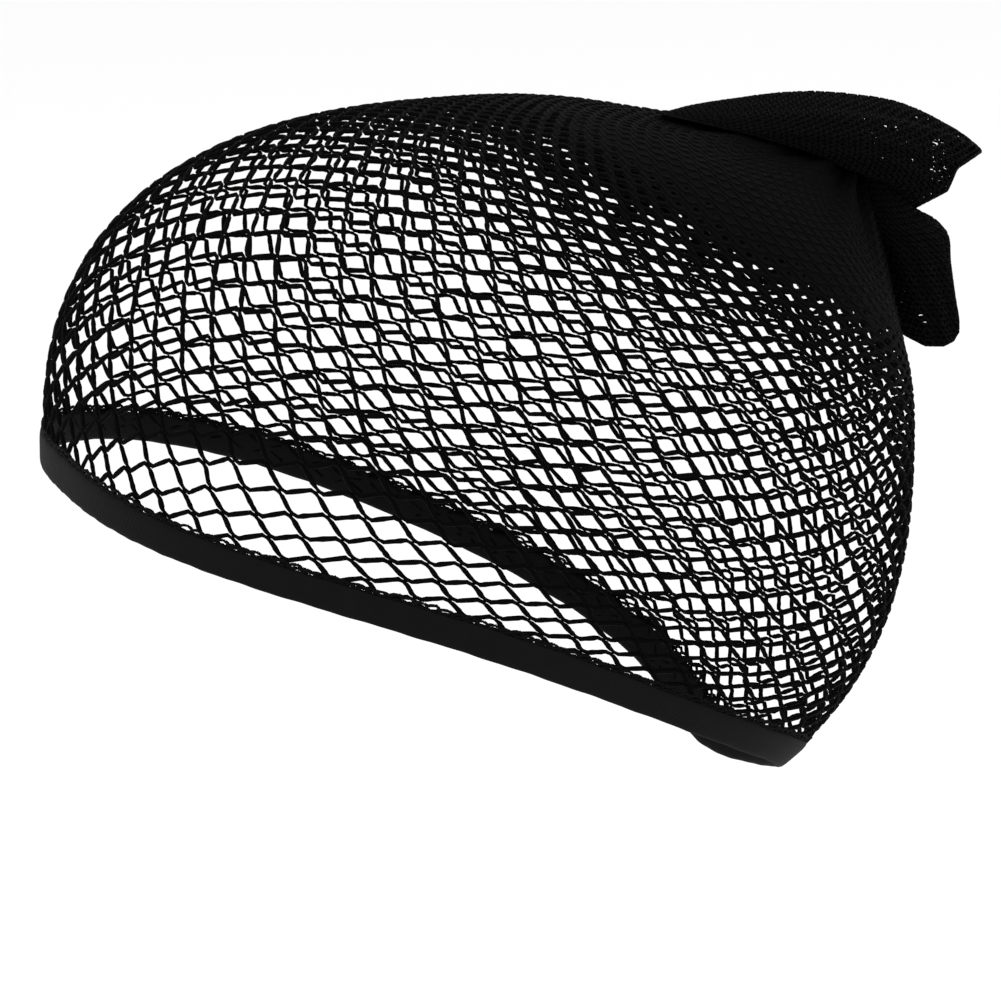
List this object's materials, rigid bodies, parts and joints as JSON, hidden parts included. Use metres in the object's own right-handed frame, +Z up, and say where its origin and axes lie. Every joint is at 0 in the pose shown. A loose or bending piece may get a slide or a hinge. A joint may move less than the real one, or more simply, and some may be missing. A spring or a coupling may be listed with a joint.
{
  "type": "wig cap",
  "caption": "Open fishnet stretch cap with a knitted elastic hem band, its net gathered to a neck behind the crown and flaring past it in a loose topknot ruffle",
  "frame": {"origin": "inside face of the crown, on the centre plane, at the highest point of the hollow, where the wearer's head holds the cap up", "axes": "+X to the wearer's left, +Y to the back, +Z up, with the cap at the angle at which it is worn"},
  "size_m": [0.1648, 0.2178, 0.1518],
  "materials": {
    "net_yarn": "matte black textured stretch yarn, slightly fuzzy",
    "hem_elastic": "matte black close-knitted elastic with fine ribs",
    "gather_elastic": "matte black wound elastic thread"
  },
  "bodies": {
    "root": {"crown_net": "net_yarn", "hem_band": "hem_elastic", "gather_tie": "gather_elastic", "topknot_ruffle": "net_yarn"}
  },
  "joints": []
}
